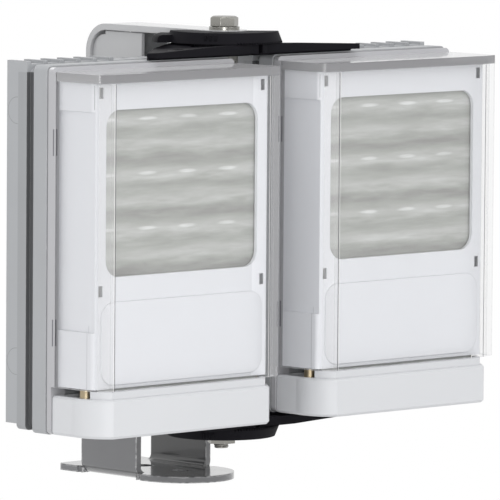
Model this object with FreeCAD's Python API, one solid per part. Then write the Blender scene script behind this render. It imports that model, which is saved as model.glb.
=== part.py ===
import FreeCAD, Part
import math
import os
from FreeCAD import Vector

os.makedirs("parts", exist_ok=True)

# Twin white-light lamp on a tilting stirrup. Millimetres, +Z up, lamps facing -Y.
# The origin is the centre of the foot's fixing hole, on the foot's underside.

# Overall places
lamp_width = 128.0        # each lamp, side to side
lamp_height = 188.0       # each lamp, heatsink flange bottom to top
lamp_gap = 31.0           # between the two lamps' inner sides
lamp_lift = 37.5          # foot's underside to the lamps' bottom
pan_advance = 60.0        # pan axis in front of the tilt axis
front_reach = 61.2        # cover's front in front of the pan axis
tilt_height = 57.5        # tilt axis above the foot's underside
running_gap = 0.2         # flat faces that slide on each other
shaft_clearance = 0.08    # radial, bolt shank in a turning hole
fit_gap = 0.3             # piece set inside another piece

# Lamp heatsink casting
corner_radius = 2.8
flange_depth = 10.0
neck_depth = 5.2
neck_inset = 2.5
band_depth = 6.7
fin_depth = 8.2
fin_thickness = 3.0
fin_count = 12
fin_rise = 1.5            # outer fins stand above the flange
fin_foot = 4.0            # fins end above the flange's bottom
pedestal_margin = 12.0    # lamp's side to the pedestal's
pedestal_rise = 5.8       # pedestal above and below the window
pedestal_depth = 10.0
boss_radius = 11.0        # cable gland boss
boss_height = 34.0        # its axis above the lamp's bottom
boss_ring = 3.5           # clear ring between the boss and the cut fins
wire_way_radius = 6.0
gasket_thickness = 0.8
gasket_inset = 0.6
cover_screw_radius = 1.5
cover_screw_inset = 6.0   # from the lamp's side
cover_screw_head = 2.4     # radius
cover_screw_head_height = 2.0

# Clear cover, white bezel behind it and the end cap below it
cover_depth = 40.0
cover_wall = 2.2
cover_drop = 3.0          # cover's top below the flange's top
cap_gap = 4.4             # cover's bottom above the end cap's top
rim_thickness = 3.0
facet_width = 9.6         # angled strip at each side of the flat front
facet_fall = 2.2
corner_round = 2.5
bezel_gap = 0.4
bezel_wall = 2.0
bezel_top_gap = 2.4       # below the cover's top wall
bezel_corner = 2.5
bezel_setback = 8.2       # bezel's front behind the cover's front
bezel_waist = 1.2         # sides stand back between the upper and the lower tabs
upper_tab = 14.7          # height of the tabs below the bezel's top
lower_tab = 29.0          # height of the tabs above the bezel's bottom
window_margin = 11.0      # lamp's side to the window's
window_share = 0.528      # of the cover's height
window_drop = 18.5        # window's top below the cover's top
window_radius = 8.5
panel_margin = 7.5        # lamp's side to the raised panel's
panel_gap = 12.7          # below the window
panel_foot = 2.0          # above the bezel's bottom
panel_rise = 0.8
clip_inset = 4.9          # clip slot's middle from the bezel's side
clip_width = 2.8
clip_height = 5.6
clip_drop = 9.5           # upper slots' middle below the cover's top
clip_gap = 6.9            # lower slots' middle below the window
cap_height = 20.4
cap_inset = 1.0
cap_wall = 2.5
cap_sweep = 22.0          # depth of the curve at each side of the front
cap_chamfer = 1.2
ledge_inset = 2.0
ledge_depth = 11.5
ledge_gap = 0.5
knob_radius = 3.2
knob_inset = 6.0
knob_setback = 17.0
knob_sink = 6.0           # seat below the end cap's top
knob_wall = 1.6

# Light engine
diffuser_thickness = 2.0
diffuser_margin = 8.0     # lamp's side to the diffuser's
diffuser_gap = 0.6        # behind the bezel
cell_rows = 3
cell_columns = 4
cell_land = 0.2           # left between the cells
cell_depth = 12.0
tray_rim = 1.0
cell_throat = 4.6         # radius
board_thickness = 1.6
pad_thickness = 0.5
led_radius = 3.4
led_base = 1.0
driver_margin = 14.0      # lamp's side to the driver board's
driver_room = 4.2         # clear above and below the driver board
driver_standoff = 6.0
standoff_radius = 3.0

# Hinge arms, index caps and pan bolts
hub_radius = 27.5
hub_height = 6.1
hub_split = 1.5           # half the slit between the two arms
knuckle_radius = 13.0
hub_end = 268.0           # plan angle of the hub's front end, degrees
wing_radius = 37.6        # a wider slice at the side of the hub
wing_start = 148.0
wing_end = 192.0
wing_height = 2.9         # its side; above it a cone rises to the hub
arm_reach = 73.0
arm_front = 27.0
arm_tip_depth = 8.1
arm_side_fall = 2.46      # degrees that the arm's top falls towards its tip
arm_rear_fall = 3.67      # and towards its rear
arm_nose_lift = 1.3       # arm's underside above the lamp, in front of the casting
pan_back = 30.0           # degrees that each lamp swings back
cap_low_radius = 30.5
cap_slope = 2.3           # narrower at the top
index_cap_height = 5.9
index_floor = 2.9
rim_start = 137.0         # plan angles of the full-height rim; the rest is as low as the floor
notch_start = 240.0
notch_end = 315.0
notch_step = 3.0
notch_height = 0.9
notch_width = 0.8
ridge_angles = (207.0, 212.0, 217.5)
ear_radius = 37.4
ear_round = 2.8           # radius of the ear's top edge
ear_height = 4.0
ear_start = 118.0
ear_end = 158.0
bolt_radius = 4.0
bolt_head_flats = 13.0
bolt_head_height = 5.5
nut_height = 6.5
thin_nut_height = 4.0
bolt_end = 2.5            # thread past the nut
washer_radius = 8.0
washer_thickness = 1.6
arm_screw_radius = 2.5
arm_screw_head = 4.25
arm_screw_sink = 3.0
arm_screw_length = 9.0
arm_screw_first = 12.0    # from the lamp's inner side
arm_screw_pitch = 22.0

# Stirrup, its inner channel and the foot
sheet = 3.4
stirrup_half = 12.0
stirrup_depth = 93.5      # pan axis to the web's rear face
stirrup_bend = 15.0
channel_margin = 1.8      # stirrup's edge to the channel's cheek
channel_sheet = 2.0
channel_reach = 38.0      # cheeks in front of the web
lug_radius = 14.0         # the cheeks' round ends about the tilt axis
channel_gap = 0.5
channel_step = 1.8
channel_step_depth = 9.8
rivet_radius = 2.0
rivet_head = 3.6
rivet_head_height = 1.2
rivet_inset = 12.0
foot_half = 27.0
foot_sheet = 3.5
cheek_front = 23.5        # cheeks in front of and behind the tilt axis
cheek_rear = 19.0
foot_rear = 38.0
foot_front = 58.0
foot_bend = 3.0
relief = 1.6
fixing_radius = 5.25
slot_radius = 3.25
slot_length = 12.0
slot_offset = 29.0
spacer_radius = 12.0

# Places worked out from the sizes above
lamp_top = lamp_lift + lamp_height
lamp_middle = lamp_lift + lamp_height / 2
pan_y = -pan_advance
cover_front = pan_y - front_reach
seam = cover_front + cover_depth
flange_front = seam + gasket_thickness
flange_rear = flange_front + flange_depth
band_front = flange_rear + neck_depth
band_rear = band_front + band_depth
fin_rear = band_rear + fin_depth
cover_top = lamp_top - cover_drop
cap_top = lamp_lift + cap_height
cover_bottom = cap_top + cap_gap
bezel_front = cover_front + bezel_setback
bezel_top = cover_top - cover_wall - bezel_top_gap
bezel_bottom = cover_bottom + fit_gap
window_height = window_share * (cover_top - cover_bottom)
window_bottom = cover_top - window_drop - window_height
cap_rear = seam - rim_thickness - fit_gap
diffuser_front = bezel_front + bezel_wall + diffuser_gap
pedestal_front = flange_front - pedestal_depth
pedestal_bottom = window_bottom - pedestal_rise
pedestal_top = window_bottom + window_height + pedestal_rise
pedestal_half = lamp_width / 2 - pedestal_margin
driver_half = lamp_width / 2 - driver_margin
driver_bottom = cap_top + 2 * driver_room
driver_height = pedestal_bottom - driver_room - driver_bottom
engine_front = pedestal_front - pad_thickness - board_thickness
cell_front = engine_front - cell_depth
cell_middle = window_bottom + window_height / 2
cell_pitch = window_height / cell_rows - cell_land
cell_mouth = 0.45 * cell_pitch
stirrup_rear = pan_y + stirrup_depth
channel_half = stirrup_half - channel_margin
cap_top_radius = cap_low_radius - cap_slope
arm_under = lamp_top + hub_height + running_gap + index_floor
stack_rise = arm_under + sheet - lamp_middle


def box(x0, x1, y0, y1, z0, z1):
    """A plain block between two corners."""
    return Part.makeBox(x1 - x0, y1 - y0, z1 - z0, Vector(x0, y0, z0))


def rod(radius, length, start, direction):
    """A cylinder from a start point along a direction."""
    return Part.makeCylinder(radius, length, Vector(*start), Vector(*direction))


def prism(points, z0, z1):
    """A straight-sided plan outline carried up from z0 to z1."""
    ring = [Vector(x, y, z0) for x, y in points]
    face = Part.Face(Part.makePolygon(ring + ring[:1]))
    return face.extrude(Vector(0, 0, z1 - z0))


def upright_edges(shape):
    """The edges of a shape that run along Z."""
    found = []
    for edge in shape.Edges:
        if isinstance(edge.Curve, Part.Line) and abs(edge.tangentAt(edge.FirstParameter).z) > 0.999:
            found.append(edge)
    return found


def panel(x_middle, width, z0, z1, y0, y1, radius):
    """A block that faces -Y, with its four corners rounded in front view."""
    block = box(x_middle - width / 2, x_middle + width / 2, y0, y1, z0, z1)
    edges = [e for e in block.Edges if abs(e.tangentAt(e.FirstParameter).y) > 0.999]
    return block.makeFillet(radius, edges)


def hexagon(flats, height, centre, direction, turn=0.0):
    """A hexagonal prism with its far end's corners turned off, standing along a direction."""
    corner = flats / math.sqrt(3)
    ring = []
    for k in range(6):
        angle = math.radians(60 * k + turn)
        ring.append(Vector(corner * math.cos(angle), corner * math.sin(angle), 0))
    solid = Part.Face(Part.makePolygon(ring + ring[:1])).extrude(Vector(0, 0, height))
    wide = corner * 1.05
    narrow = flats * 0.475
    fall = (wide - narrow) * math.tan(math.radians(30))
    turned = Part.makeCone(wide, narrow, fall, Vector(0, 0, height - fall))
    solid = solid.common(turned.fuse(Part.makeCylinder(wide, height - fall)))
    spin = FreeCAD.Rotation(Vector(0, 0, 1), Vector(*direction))
    return solid.transformed(FreeCAD.Placement(Vector(*centre), spin).toMatrix(), True)


def mirrored_down(shape):
    """The copy of a top hinge piece that belongs at the bottom of the lamps."""
    return shape.mirror(Vector(0, 0, lamp_middle), Vector(0, 0, 1))


def mirrored_across(shape):
    """The copy of a left piece that belongs on the right."""
    return shape.mirror(Vector(0, 0, 0), Vector(1, 0, 0))


def keep(name, shape):
    """Writes one node's STEP file."""
    shape.removeSplitter().exportStep("parts/" + name + ".step")


def plan_outline(x_middle, inset, rear, z0, z1):
    """The cover's plan: straight sides, an angled facet at each corner and a flat front."""
    half = lamp_width / 2 - inset
    front = cover_front + inset
    facet = facet_width - inset * 0.4
    points = [
        (x_middle - half, rear),
        (x_middle - half, front + facet_fall),
        (x_middle - half + facet, front),
        (x_middle + half - facet, front),
        (x_middle + half, front + facet_fall),
        (x_middle + half, rear),
    ]
    body = prism(points, z0, z1)
    corners = []
    for edge in upright_edges(body):
        point = edge.Vertexes[0].Point
        on_side = abs(abs(point.x - x_middle) - half) < 0.01
        if on_side and point.y < rear - 1.0:
            corners.append(edge)
    return body.makeFillet(max(corner_round - inset * 0.5, 0.5), corners)


def lamp_middle_x(side):
    """The X of a lamp's own middle plane; side is -1 on the left and 1 on the right."""
    return side * (lamp_gap + lamp_width) / 2


def fin_places(side):
    """The X of each fin's middle and whether a hinge arm lies above it."""
    first = lamp_middle_x(side) - lamp_width / 2 + fin_thickness / 2
    pitch = (lamp_width - fin_thickness) / (fin_count - 1)
    clear = arm_reach + fin_thickness
    return [(first + k * pitch, abs(first + k * pitch) < clear) for k in range(fin_count)]


def standoff_places(side):
    """The X and Z of the four pillars that carry the driver board."""
    middle = lamp_middle_x(side)
    across = driver_half - standoff_radius - 1.0
    bottom = driver_bottom + standoff_radius + 1.0
    top = driver_bottom + driver_height - standoff_radius - 1.0
    return [(middle + s * across, z) for s in (-1, 1) for z in (bottom, top)]


def screw_places(side):
    """The X and Z of the six screws that draw the cover onto the flange."""
    middle = lamp_middle_x(side)
    across = lamp_width / 2 - cover_screw_inset
    heights = (lamp_lift + cover_screw_inset + 4.0, lamp_middle, lamp_top - 2 * cover_screw_inset)
    return [(middle + s * across, z) for s in (-1, 1) for z in heights]


def heatsink(side):
    """One casting: flange, narrower neck, band, fins behind and the pedestal in front."""
    middle = lamp_middle_x(side)
    solid = panel(middle, lamp_width, lamp_lift, lamp_top, flange_front, flange_rear, corner_radius)
    neck = lamp_width - 2 * neck_inset
    solid = solid.fuse(panel(middle, neck, lamp_lift + neck_inset, lamp_top - neck_inset,
                             flange_rear, band_front, corner_radius))
    solid = solid.fuse(panel(middle, lamp_width, lamp_lift + 1.0, lamp_top, band_front, band_rear,
                             corner_radius))
    for x, under_arm in fin_places(side):
        top = lamp_top if under_arm else lamp_top + fin_rise
        fin = box(x - fin_thickness / 2, x + fin_thickness / 2, band_front, fin_rear,
                  lamp_lift + fin_foot, top)
        solid = solid.fuse(fin)
    boss_z = lamp_lift + boss_height
    solid = solid.cut(rod(boss_radius + boss_ring, fin_depth, (middle, band_rear, boss_z), (0, 1, 0)))
    solid = solid.fuse(rod(boss_radius, fin_depth, (middle, band_rear, boss_z), (0, 1, 0)))
    solid = solid.fuse(box(middle - pedestal_half, middle + pedestal_half,
                           pedestal_front, flange_front, pedestal_bottom, pedestal_top))
    for x, z in standoff_places(side):
        solid = solid.fuse(rod(standoff_radius, driver_standoff,
                               (x, flange_front, z), (0, -1, 0)))
    for x, z in screw_places(side):
        hole = rod(cover_screw_radius, flange_depth, (x, flange_rear, z), (0, -1, 0))
        pocket = rod(cover_screw_head + fit_gap, fin_rear - flange_rear + 1.0,
                     (x, flange_rear - cover_screw_head_height, z), (0, 1, 0))
        solid = solid.cut(hole).cut(pocket)
    wire_way = rod(wire_way_radius, fin_rear - flange_front, (middle, fin_rear, boss_z), (0, -1, 0))
    solid = solid.cut(wire_way)
    for x, y in arm_screw_places(side):
        for z, way in ((lamp_top, -1), (lamp_lift, 1)):
            solid = solid.cut(rod(arm_screw_radius, arm_screw_length, (x, y, z), (0, 0, way)))
    return solid


def gasket(side):
    """A flat rubber ring between the flange and the cover's rim."""
    middle = lamp_middle_x(side)
    width = lamp_width - 2 * gasket_inset
    ring = panel(middle, width, lamp_lift + gasket_inset, lamp_top - gasket_inset,
                 seam, flange_front, corner_radius - gasket_inset)
    hole = rim_opening(side, seam - 1.0, flange_front + 1.0)
    ring = ring.cut(hole)
    for x, z in screw_places(side):
        ring = ring.cut(rod(cover_screw_radius, 3.0, (x, seam - 1.0, z), (0, 1, 0)))
    return ring


def rim_opening(side, y0, y1):
    """The opening through the rim and the gasket, as wide as the cover's inside."""
    middle = lamp_middle_x(side)
    half = lamp_width / 2 - cover_wall - cover_screw_inset - 2.0
    return box(middle - half, middle + half, y0, y1,
               lamp_lift + cover_screw_inset + 2.0, cover_top - cover_screw_inset - 1.0)


def clear_cover(side):
    """One clear moulding: a full-height rim and a shell open at its back and its bottom."""
    middle = lamp_middle_x(side)
    rim = panel(middle, lamp_width - 0.4, lamp_lift + 0.4, lamp_top - 0.8,
                seam - rim_thickness, seam, corner_radius)
    shell = plan_outline(middle, 0.0, seam - 1.0, cover_bottom, cover_top)
    hollow = plan_outline(middle, cover_wall, seam - rim_thickness, cover_bottom - 1.0,
                          cover_top - cover_wall)
    solid = rim.fuse(shell.cut(hollow)).cut(rim_opening(side, seam - 10.0, seam + 1.0))
    for x, z in screw_places(side):
        solid = solid.cut(rod(cover_screw_radius, rim_thickness - 0.8, (x, seam, z), (0, -1, 0)))
    return solid


def bezel(side):
    """The white inner frame: waisted sides, a rounded window and the raised panel below it."""
    middle = lamp_middle_x(side)
    half = lamp_width / 2 - cover_wall - bezel_gap
    rear = seam - rim_thickness - fit_gap

    def tub(inset, front, rear_y, z0, z1):
        body = box(middle - half + inset, middle + half - inset, front, rear_y, z0, z1)
        edges = [e for e in upright_edges(body) if e.Vertexes[0].Point.y < front + 1.0]
        return body.makeFillet(max(bezel_corner - inset, 0.5), edges)

    solid = tub(0.0, bezel_front, rear, bezel_bottom, bezel_top)
    inner = tub(bezel_wall + bezel_waist, bezel_front + bezel_wall, rear + 1.0, bezel_bottom - 1.0,
                bezel_top - bezel_wall)
    solid = solid.cut(inner)
    for s in (-1, 1):
        waist = box(-bezel_waist, bezel_waist, bezel_front - 1.0, rear + 1.0,
                    bezel_bottom + lower_tab, bezel_top - upper_tab)
        solid = solid.cut(waist.translated(Vector(middle + s * half, 0, 0)))
    window = panel(middle, lamp_width - 2 * window_margin, window_bottom, window_bottom + window_height,
                   bezel_front - 1.0, bezel_front + bezel_wall + 1.0, window_radius)
    solid = solid.cut(window)
    raised = panel(middle, lamp_width - 2 * panel_margin, bezel_bottom + panel_foot,
                   window_bottom - panel_gap, bezel_front - panel_rise, bezel_front + 1.0,
                   window_radius)
    solid = solid.fuse(raised)
    for s in (-1, 1):
        for z in (cover_top - clip_drop, window_bottom - clip_gap):
            slot = box(-clip_width / 2, clip_width / 2, bezel_front - 1.0,
                       bezel_front + bezel_wall + 1.0, -clip_height / 2, clip_height / 2)
            slot.translate(Vector(middle + s * (half - clip_inset), 0, z))
            solid = solid.cut(slot)
    return solid


def cap_plan(middle, inset, rear, z0, z1):
    """The end cap's plan: straight sides that sweep round to a flat front."""
    half = lamp_width / 2 - cap_inset - inset
    front = cover_front + inset
    flat = lamp_width / 2 - facet_width - inset * 0.4
    sweep = cap_sweep - inset * 0.5
    bow = (half - flat) * 0.74
    left = [Vector(middle - half, rear, z0), Vector(middle - half, front + sweep, z0)]
    right = [Vector(middle + half, front + sweep, z0), Vector(middle + half, rear, z0)]
    left_mid = Vector(middle - flat - bow, front + sweep * 0.32, z0)
    right_mid = Vector(middle + flat + bow, front + sweep * 0.32, z0)
    left_end = Vector(middle - flat, front, z0)
    right_end = Vector(middle + flat, front, z0)
    edges = [
        Part.makeLine(left[0], left[1]),
        Part.Arc(left[1], left_mid, left_end).toShape(),
        Part.makeLine(left_end, right_end),
        Part.Arc(right_end, right_mid, right[0]).toShape(),
        Part.makeLine(right[0], right[1]),
        Part.makeLine(right[1], left[0]),
    ]
    return Part.Face(Part.Wire(edges)).extrude(Vector(0, 0, z1 - z0))


def end_cap(side):
    """The white cap that closes the cover's open bottom and carries the diffuser."""
    middle = lamp_middle_x(side)
    solid = cap_plan(middle, 0.0, cap_rear, lamp_lift + 0.4, cap_top)
    rims = []
    for edge in solid.Edges:
        box_z = edge.BoundBox
        flat_edge = box_z.ZMax - box_z.ZMin < 0.01
        if flat_edge and box_z.YMin < cap_rear - 1.0:
            rims.append(edge)
    solid = solid.makeChamfer(cap_chamfer, rims)
    ledge_top = cover_bottom - ledge_gap
    ledge = cap_plan(middle, ledge_inset, cap_rear, cap_top - 3.0, ledge_top)
    ledge = ledge.common(box(middle - lamp_width, middle + lamp_width, cover_front,
                             cover_front + ledge_depth, cap_top - 3.0, ledge_top))
    solid = solid.fuse(ledge)
    hollow = cap_plan(middle, cap_wall + ledge_inset, cap_rear - cap_wall,
                      lamp_lift + 0.4 + cap_wall, cover_bottom + 1.0)
    solid = solid.cut(hollow)
    for s in (-1, 1):
        seat = knob_seat(middle, s)
        post = rod(knob_radius + knob_wall, knob_sink, seat, (0, 0, 1))
        solid = solid.fuse(post).cut(rod(knob_radius, knob_sink + 1.0, seat, (0, 0, 1)))
    return solid


def knob_seat(middle, s):
    """Where a captive screw's foot stands in the end cap; s is the side of the lamp's middle."""
    return (middle + s * (lamp_width / 2 - knob_inset), cover_front + knob_setback,
            cap_top - knob_sink)


def cap_knobs(side):
    """Two captive brass screws that draw the end cap up to the cover."""
    middle = lamp_middle_x(side)
    knobs = []
    for s in (-1, 1):
        length = cover_bottom - cap_top + knob_sink
        knobs.append(rod(knob_radius, length, knob_seat(middle, s), (0, 0, 1)))
    return Part.makeCompound(knobs)


def diffuser(side):
    """The frosted sheet that stands in the end cap and slides up behind the window."""
    middle = lamp_middle_x(side)
    bottom = lamp_lift + 0.4 + cap_wall
    half = lamp_width / 2 - diffuser_margin
    return box(middle - half, middle + half, diffuser_front, diffuser_front + diffuser_thickness,
               bottom, bezel_top - bezel_wall - fit_gap)


def cell_places(side):
    """The X and Z of the light cells, in rows and columns about the window's middle."""
    middle = lamp_middle_x(side)
    across = [(k - (cell_columns - 1) / 2) * cell_pitch for k in range(cell_columns)]
    upwards = [(k - (cell_rows - 1) / 2) * cell_pitch for k in range(cell_rows)]
    return [(middle + dx, cell_middle + dz) for dz in upwards for dx in across]


def reflector(side):
    """A moulded tray with one cone for each light cell."""
    middle = lamp_middle_x(side)
    half = cell_columns * cell_pitch / 2 + tray_rim
    tall = cell_rows * cell_pitch / 2 + tray_rim
    solid = box(middle - half, middle + half, cell_front, engine_front,
                cell_middle - tall, cell_middle + tall)
    for x, z in cell_places(side):
        cone = Part.makeCone(cell_throat, cell_mouth, cell_depth,
                             Vector(x, engine_front, z), Vector(0, -1, 0))
        solid = solid.cut(cone)
    return solid


def led_board(side):
    """The light engine's circuit board on its thermal pad."""
    middle = lamp_middle_x(side)
    half = pedestal_half - 1.0
    return box(middle - half, middle + half, engine_front, engine_front + board_thickness,
               pedestal_bottom + 1.0, pedestal_top - 1.0)


def leds(side):
    """One domed light source at the bottom of each cone."""
    group = []
    for x, z in cell_places(side):
        base = rod(led_radius, led_base, (x, engine_front, z), (0, -1, 0))
        dome = Part.makeSphere(led_radius * 0.8, Vector(x, engine_front - led_base, z))
        front = box(x - 9, x + 9, engine_front - led_base - 9, engine_front - led_base, z - 9, z + 9)
        group.append(base.fuse(dome.common(front)))
    return Part.makeCompound(group)


def thermal_pad(side):
    """The soft pad between the circuit board and the casting's pedestal."""
    middle = lamp_middle_x(side)
    half = pedestal_half - 2.0
    return box(middle - half, middle + half, pedestal_front - pad_thickness, pedestal_front,
               pedestal_bottom + 2.0, pedestal_top - 2.0)


def driver_board(side):
    """The driver's circuit board on the casting's four pillars."""
    middle = lamp_middle_x(side)
    rear = flange_front - driver_standoff
    return box(middle - driver_half, middle + driver_half, rear - board_thickness, rear,
               driver_bottom, driver_bottom + driver_height)


def driver_parts(side):
    """Coil, capacitors and terminal block, standing on the driver board."""
    middle = lamp_middle_x(side)
    face = flange_front - driver_standoff - board_thickness
    z = driver_bottom + driver_height / 2
    group = [rod(8.0, 9.0, (middle - 28.0, face, z), (0, -1, 0))]
    group += [rod(5.0, 12.0, (middle + dx, face, z + 4.0), (0, -1, 0)) for dx in (-6.0, 8.0)]
    group.append(box(middle + 20.0, middle + 42.0, face - 8.0, face, z - 12.0, z - 2.0))
    return Part.makeCompound(group)


def cable_gland(side):
    """The empty cable entry: hexagon, body and domed nut round an open bore."""
    middle = lamp_middle_x(side)
    z = lamp_lift + boss_height
    start = (middle, fin_rear, z)
    solid = hexagon(20.0, 5.0, start, (0, 1, 0))
    solid = solid.fuse(rod(8.5, 9.0, start, (0, 1, 0)))
    dome = Part.makeCone(8.5, 6.0, 4.0, Vector(middle, fin_rear + 9.0, z), Vector(0, 1, 0))
    solid = solid.fuse(dome)
    neck = rod(wire_way_radius, 8.0, (middle, fin_rear - 8.0, z), (0, 1, 0))
    return solid.fuse(neck).cut(rod(3.5, 30.0, (middle, fin_rear - 9.0, z), (0, 1, 0)))


def cover_screws(side):
    """Six screws from the flange's rear into the cover's rim."""
    group = []
    for x, z in screw_places(side):
        head_y = flange_rear - cover_screw_head_height
        head = rod(cover_screw_head, cover_screw_head_height, (x, head_y, z), (0, 1, 0))
        shank = rod(cover_screw_radius, head_y - seam + rim_thickness - 1.5, (x, head_y, z),
                    (0, -1, 0))
        group.append(head.fuse(shank))
    return Part.makeCompound(group)


def arm_screw_places(side):
    """The X and Y of the two screws through each hinge arm into the casting."""
    y = (flange_front + flange_rear) / 2
    inner = lamp_gap / 2 + arm_screw_first
    return [(side * (inner + k * arm_screw_pitch), y) for k in (0, 1)]


def arm_screws(side):
    """Socket screws that hold the hinge arms to the casting, two above and two below."""
    group = []
    for x, y in arm_screw_places(side):
        under = lamp_top + arm_height_at(abs(x), y) - arm_screw_sink
        head = rod(arm_screw_head, arm_screw_sink - 0.4, (x, y, under), (0, 0, 1))
        socket = hexagon(4.0, 4.0, (x, y, under + 0.8), (0, 0, 1))
        shank = rod(arm_screw_radius, under - lamp_top + arm_screw_length - 1.0, (x, y, under),
                    (0, 0, -1))
        screw = head.cut(socket).fuse(shank)
        group += [screw, mirrored_down(screw)]
    return Part.makeCompound(group)


def arm_height_at(reach, y):
    """The arm's height above the lamp, which falls from the hub to the tip and to the rear."""
    aside = (reach - hub_radius) * math.tan(math.radians(arm_side_fall))
    back = (y - pan_y + arm_front) * math.tan(math.radians(arm_rear_fall))
    return hub_height if math.hypot(reach, y - pan_y) < hub_radius else hub_height - aside - back


def sector(radius, start, end, z0, z1):
    """A slice of a disc about the pan axis, between two plan angles in degrees."""
    slice_ = Part.makeCylinder(radius, z1 - z0, Vector(0, 0, z0), Vector(0, 0, 1), end - start)
    slice_.rotate(Vector(0, 0, 0), Vector(0, 0, 1), start)
    slice_.translate(Vector(0, pan_y, 0))
    return slice_


def above_arm(z1):
    """All the room above the arm's sloping top, outside the hub."""
    room = box(-200, 200, -200, 200, 0, 50)
    room.rotate(Vector(0, 0, 0), Vector(0, 1, 0), -arm_side_fall)
    room.rotate(Vector(0, 0, 0), Vector(1, 0, 0), -arm_rear_fall)
    room.translate(Vector(-hub_radius, pan_y - arm_front, z1))
    return room.cut(rod(hub_radius, 100, (0, pan_y, z1 - 50), (0, 0, 1)))


def wing(z0, z1):
    """A slice of the hub that spreads to the side under the index cap's ear."""
    low = sector(wing_radius, wing_start, wing_end, z0, z0 + wing_height)
    slope = Part.makeCone(wing_radius, hub_radius, z1 - z0 - wing_height,
                          Vector(0, 0, z0 + wing_height), Vector(0, 0, 1), wing_end - wing_start)
    slope.rotate(Vector(0, 0, 0), Vector(0, 0, 1), wing_start)
    return low.fuse(slope.translated(Vector(0, pan_y, 0)))


def top_arm():
    """The left lamp's upper hinge arm: half a hub, its knuckle and a sloping arm to the tip."""
    z0 = lamp_top
    z1 = lamp_top + hub_height
    front = pan_y - arm_front
    outline = [
        (-hub_split, front),
        (-arm_reach, front),
        (-arm_reach, front + arm_tip_depth),
        (-wing_radius * 0.86, pan_y + wing_radius * 0.5),
        (-knuckle_radius, pan_y + 4.0),
        (-hub_split, pan_y),
    ]
    solid = prism(outline, z0, z1)
    rear_start = 90.0 + pan_back + 2.0
    solid = solid.fuse(sector(hub_radius, rear_start, hub_end, z0, z1))
    solid = solid.cut(above_arm(z1)).fuse(wing(z0, z1))
    past_middle = box(-hub_split, hub_radius + 1, pan_y - wing_radius, pan_y + wing_radius, z0, z1)
    solid = solid.cut(past_middle)
    solid = solid.cut(box(-arm_reach, 0, front - 1, flange_front, z0, z0 + arm_nose_lift))
    level = z0 + hub_height / 2
    bore = knuckle_radius + fit_gap
    solid = solid.cut(rod(bore, hub_height, (0, pan_y, z0), (0, 0, 1)))
    link = box(-bore - 2.0, 0, pan_y - 6.0, pan_y + 3.0, z0, level - running_gap / 2)
    knuckle = rod(knuckle_radius, hub_height / 2 - running_gap / 2, (0, pan_y, z0), (0, 0, 1))
    solid = solid.fuse(link.fuse(knuckle))
    solid = solid.cut(rod(bolt_radius + shaft_clearance, hub_height, (0, pan_y, z0), (0, 0, 1)))
    for x, y in arm_screw_places(-1):
        under = lamp_top + arm_height_at(abs(x), y) - arm_screw_sink
        solid = solid.cut(rod(arm_screw_radius, 20.0, (x, y, z0 - 1), (0, 0, 1)))
        solid = solid.cut(rod(arm_screw_head + 0.1, 20.0, (x, y, under), (0, 0, 1)))
    return solid


def lifted_knuckle(shape):
    """Turns a left arm into a right one: mirrored, with its knuckle above the left one's."""
    z0 = lamp_top
    level = z0 + hub_height / 2
    bore = knuckle_radius + fit_gap
    solid = mirrored_across(shape)
    solid = solid.cut(rod(bore, hub_height, (0, pan_y, z0), (0, 0, 1)))
    link = box(0, bore + 2.0, pan_y - 6.0, pan_y + 3.0, level + running_gap / 2, z0 + hub_height)
    knuckle = rod(knuckle_radius, hub_height / 2 - running_gap / 2,
                  (0, pan_y, level + running_gap / 2), (0, 0, 1))
    solid = solid.fuse(link.fuse(knuckle))
    return solid.cut(rod(bolt_radius + shaft_clearance, hub_height, (0, pan_y, z0), (0, 0, 1)))


def stirrup_plan(z0, z1, grow=0.0):
    """An arm of the stirrup in plan: a strip from the web with a round end at the pan bolt."""
    half = stirrup_half + grow
    strip = box(-half, half, pan_y, stirrup_rear, z0, z1)
    return strip.fuse(rod(half, z1 - z0, (0, pan_y, z0), (0, 0, 1)))


def ear(start, end, z0):
    """A shoulder of the index cap between two plan angles, with its top edge rounded."""
    shape = sector(ear_radius, start, end, z0, z0 + ear_height)
    rims = []
    for edge in shape.Edges:
        at_top = edge.BoundBox.ZMin > z0 + ear_height - 0.01
        if at_top and isinstance(edge.Curve, Part.Circle):
            rims.append(edge)
    return shape.makeFillet(ear_round, rims)


def index_cap():
    """The notched cap between an arm pair and the stirrup, with a slot for the stirrup's end."""
    z0 = lamp_top + hub_height + running_gap
    top = z0 + index_cap_height
    solid = Part.makeCone(cap_low_radius, cap_top_radius, index_cap_height,
                          Vector(0, pan_y, z0), Vector(0, 0, 1))
    behind = box(-cap_low_radius, cap_low_radius, 0, cap_low_radius, z0 + index_floor, top)
    behind.rotate(Vector(0, 0, 0), Vector(0, 0, 1), rim_start - 180.0)
    solid = solid.cut(behind.translated(Vector(0, pan_y, 0)))
    ears = ear(ear_start, ear_end, z0).fuse(ear(180.0 - ear_end, 180.0 - ear_start, z0))
    solid = solid.fuse(ears).cut(stirrup_plan(z0 + index_floor, top + 1.0, fit_gap))
    for k in range(round((notch_end - notch_start) / notch_step) + 1):
        notch = box(cap_low_radius - 1.4, cap_low_radius + 1.0, -notch_width / 2,
                    notch_width / 2, z0 - 1.0, z0 + notch_height)
        notch.rotate(Vector(0, 0, 0), Vector(0, 0, 1), notch_start + k * notch_step)
        solid = solid.cut(notch.translated(Vector(0, pan_y, 0)))
    for angle in ridge_angles:
        ridge = box(cap_top_radius - 1.0, cap_low_radius - 0.4, -0.6, 0.6, z0 + 2.0, top - 1.0)
        ridge.rotate(Vector(0, 0, 0), Vector(0, 0, 1), angle)
        solid = solid.fuse(ridge.translated(Vector(0, pan_y, 0)))
    hole = rod(bolt_radius + shaft_clearance, 20.0, (0, pan_y, z0 - 1), (0, 0, 1))
    return solid.cut(hole)


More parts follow.
